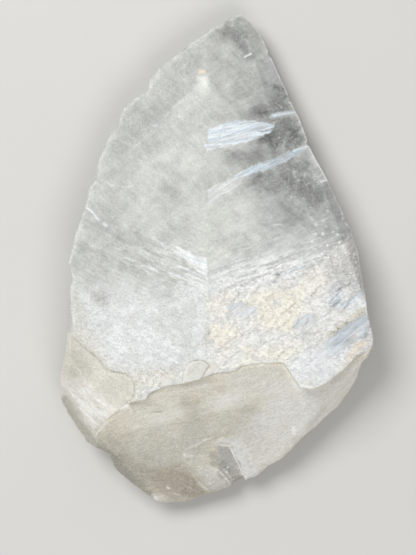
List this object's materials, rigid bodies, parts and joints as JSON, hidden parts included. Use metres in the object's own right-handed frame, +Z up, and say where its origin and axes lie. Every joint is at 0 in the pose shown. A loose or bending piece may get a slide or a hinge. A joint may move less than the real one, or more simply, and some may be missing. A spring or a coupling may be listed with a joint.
{
  "type": "calcite specimen",
  "caption": "Hand-sized plate of clear to milky twinned calcite with a pointed end, a frosted lower face and a broken base, lying on its back.",
  "frame": {"origin": "under the middle of the crystal, on the flat of its back that it rests on", "axes": "+X to the right of the crystal's face, +Y towards its point, +Z up out of its face"},
  "size_m": [0.1384, 0.2182, 0.039],
  "materials": {
    "calcite": "clear to milky, frosted in places"
  },
  "bodies": {
    "root": {"calcite_crystal": "calcite"}
  },
  "joints": []
}
